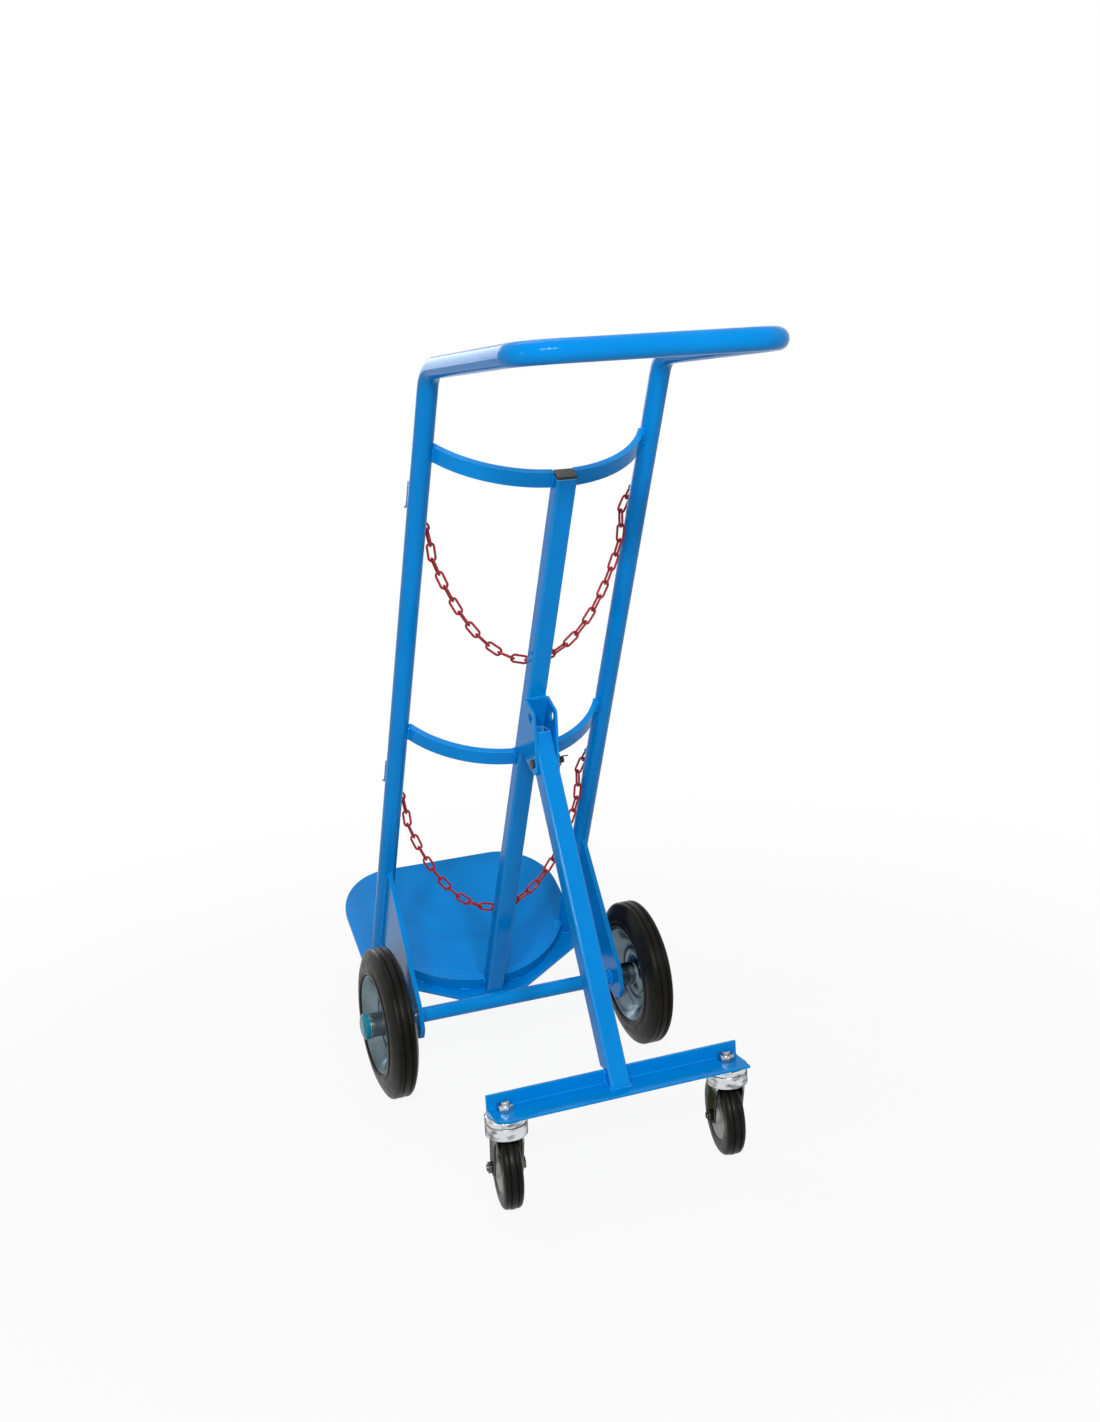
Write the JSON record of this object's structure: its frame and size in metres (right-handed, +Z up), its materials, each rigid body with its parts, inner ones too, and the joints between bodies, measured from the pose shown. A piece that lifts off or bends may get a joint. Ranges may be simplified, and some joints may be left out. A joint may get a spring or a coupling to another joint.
{
  "type": "gas cylinder trolley",
  "caption": "Blue tubular hand trolley for one gas cylinder, with base plate, cradles, holding chains, road wheels and a fold-in prop leg on swivel castors, parked leaning back.",
  "frame": {"origin": "middle of the overall box on the floor", "axes": "X across the trolley to the operator's right, Y forward to the cylinder side, Z up"},
  "size_m": [0.438, 0.9176, 1.0023],
  "materials": {
    "blue_paint": "glossy blue powder coat",
    "red_paint": "satin red coat",
    "zinc": "bright zinc plating",
    "ball_steel": "polished steel",
    "rubber": "matt black rubber",
    "castor_rubber": "dark rubber",
    "grey_plastic": "grey moulded plastic",
    "black_plastic": "black moulded plastic",
    "bush_plastic": "plain nylon",
    "hub_cap": "glossy teal blue",
    "pin_black": "black oxide"
  },
  "bodies": {
    "frame": {"frame_tube": "blue_paint", "mast": "blue_paint", "mast_cap": "black_plastic", "upper_cradle_left": "blue_paint", "upper_cradle_right": "blue_paint", "lower_cradle_left": "blue_paint", "lower_cradle_right": "blue_paint", "base_rim_left": "blue_paint", "base_rim_right": "blue_paint", "base_plate": "blue_paint", "left_gusset": "blue_paint", "right_gusset": "blue_paint", "axle": "blue_paint", "axle_washers": "zinc", "left_hub_cap": "hub_cap", "right_hub_cap": "hub_cap", "leg_bracket": "blue_paint", "pivot_pin": "pin_black", "split_pin": "pin_black", "chain_hooks": "blue_paint", "chain_eyes": "blue_paint"},
    "left_wheel": {"left_tyre": "rubber", "left_rim": "zinc", "left_hub": "zinc", "left_bush": "bush_plastic"},
    "right_wheel": {"right_tyre": "rubber", "right_rim": "zinc", "right_hub": "zinc", "right_bush": "bush_plastic"},
    "leg": {"prop_leg": "blue_paint", "castor_beam": "blue_paint", "castor_king_bolts": "zinc", "castor_nuts": "zinc", "castor_top_races": "zinc"},
    "left_castor": {"left_castor_fork": "zinc", "left_castor_balls": "ball_steel", "left_castor_axle_bolt": "zinc", "left_castor_axle_nut": "zinc"},
    "left_castor_wheel": {"left_castor_core": "grey_plastic", "left_castor_tyre": "castor_rubber"},
    "right_castor": {"right_castor_fork": "zinc", "right_castor_balls": "ball_steel", "right_castor_axle_bolt": "zinc", "right_castor_axle_nut": "zinc"},
    "right_castor_wheel": {"right_castor_core": "grey_plastic", "right_castor_tyre": "castor_rubber"},
    "upper_chain": {"upper_chain": "red_paint"},
    "lower_chain": {"lower_chain": "red_paint"}
  },
  "joints": [
    {"name": "left_wheel_spin", "type": "hinge", "parent": "frame", "child": "left_wheel", "pos_m": [-0.183, 0.11821, 0.1], "axis": [1, 0, 0], "continuous": true},
    {"name": "right_wheel_spin", "type": "hinge", "parent": "frame", "child": "right_wheel", "pos_m": [0.183, 0.11821, 0.1], "axis": [1, 0, 0], "continuous": true},
    {"name": "leg_fold", "type": "hinge", "parent": "frame", "child": "leg", "pos_m": [0, -0.05216, 0.47436], "axis": [1, 0, 0], "range_deg": [0, 26]},
    {"name": "left_castor_swivel", "type": "hinge", "parent": "leg", "child": "left_castor", "pos_m": [-0.1425, -0.24239, 0.121], "axis": [0, 0, 1], "continuous": true},
    {"name": "left_castor_spin", "type": "hinge", "parent": "left_castor", "child": "left_castor_wheel", "pos_m": [-0.14058, -0.22953, 0.05], "axis": [0.989, -0.1478, 0], "continuous": true},
    {"name": "right_castor_swivel", "type": "hinge", "parent": "leg", "child": "right_castor", "pos_m": [0.1425, -0.24239, 0.121], "axis": [0, 0, 1], "continuous": true},
    {"name": "right_castor_spin", "type": "hinge", "parent": "right_castor", "child": "right_castor_wheel", "pos_m": [0.14442, -0.22953, 0.05], "axis": [0.989, -0.1478, 0], "continuous": true},
    {"name": "upper_chain_swing", "type": "hinge", "parent": "frame", "child": "upper_chain", "pos_m": [0, -0.03193, 0.80803], "axis": [1, 0, 0], "range_deg": [0, 100]},
    {"name": "lower_chain_swing", "type": "hinge", "parent": "frame", "child": "lower_chain", "pos_m": [0, 0.16218, 0.4221], "axis": [1, 0, 0], "range_deg": [0, 100]}
  ]
}
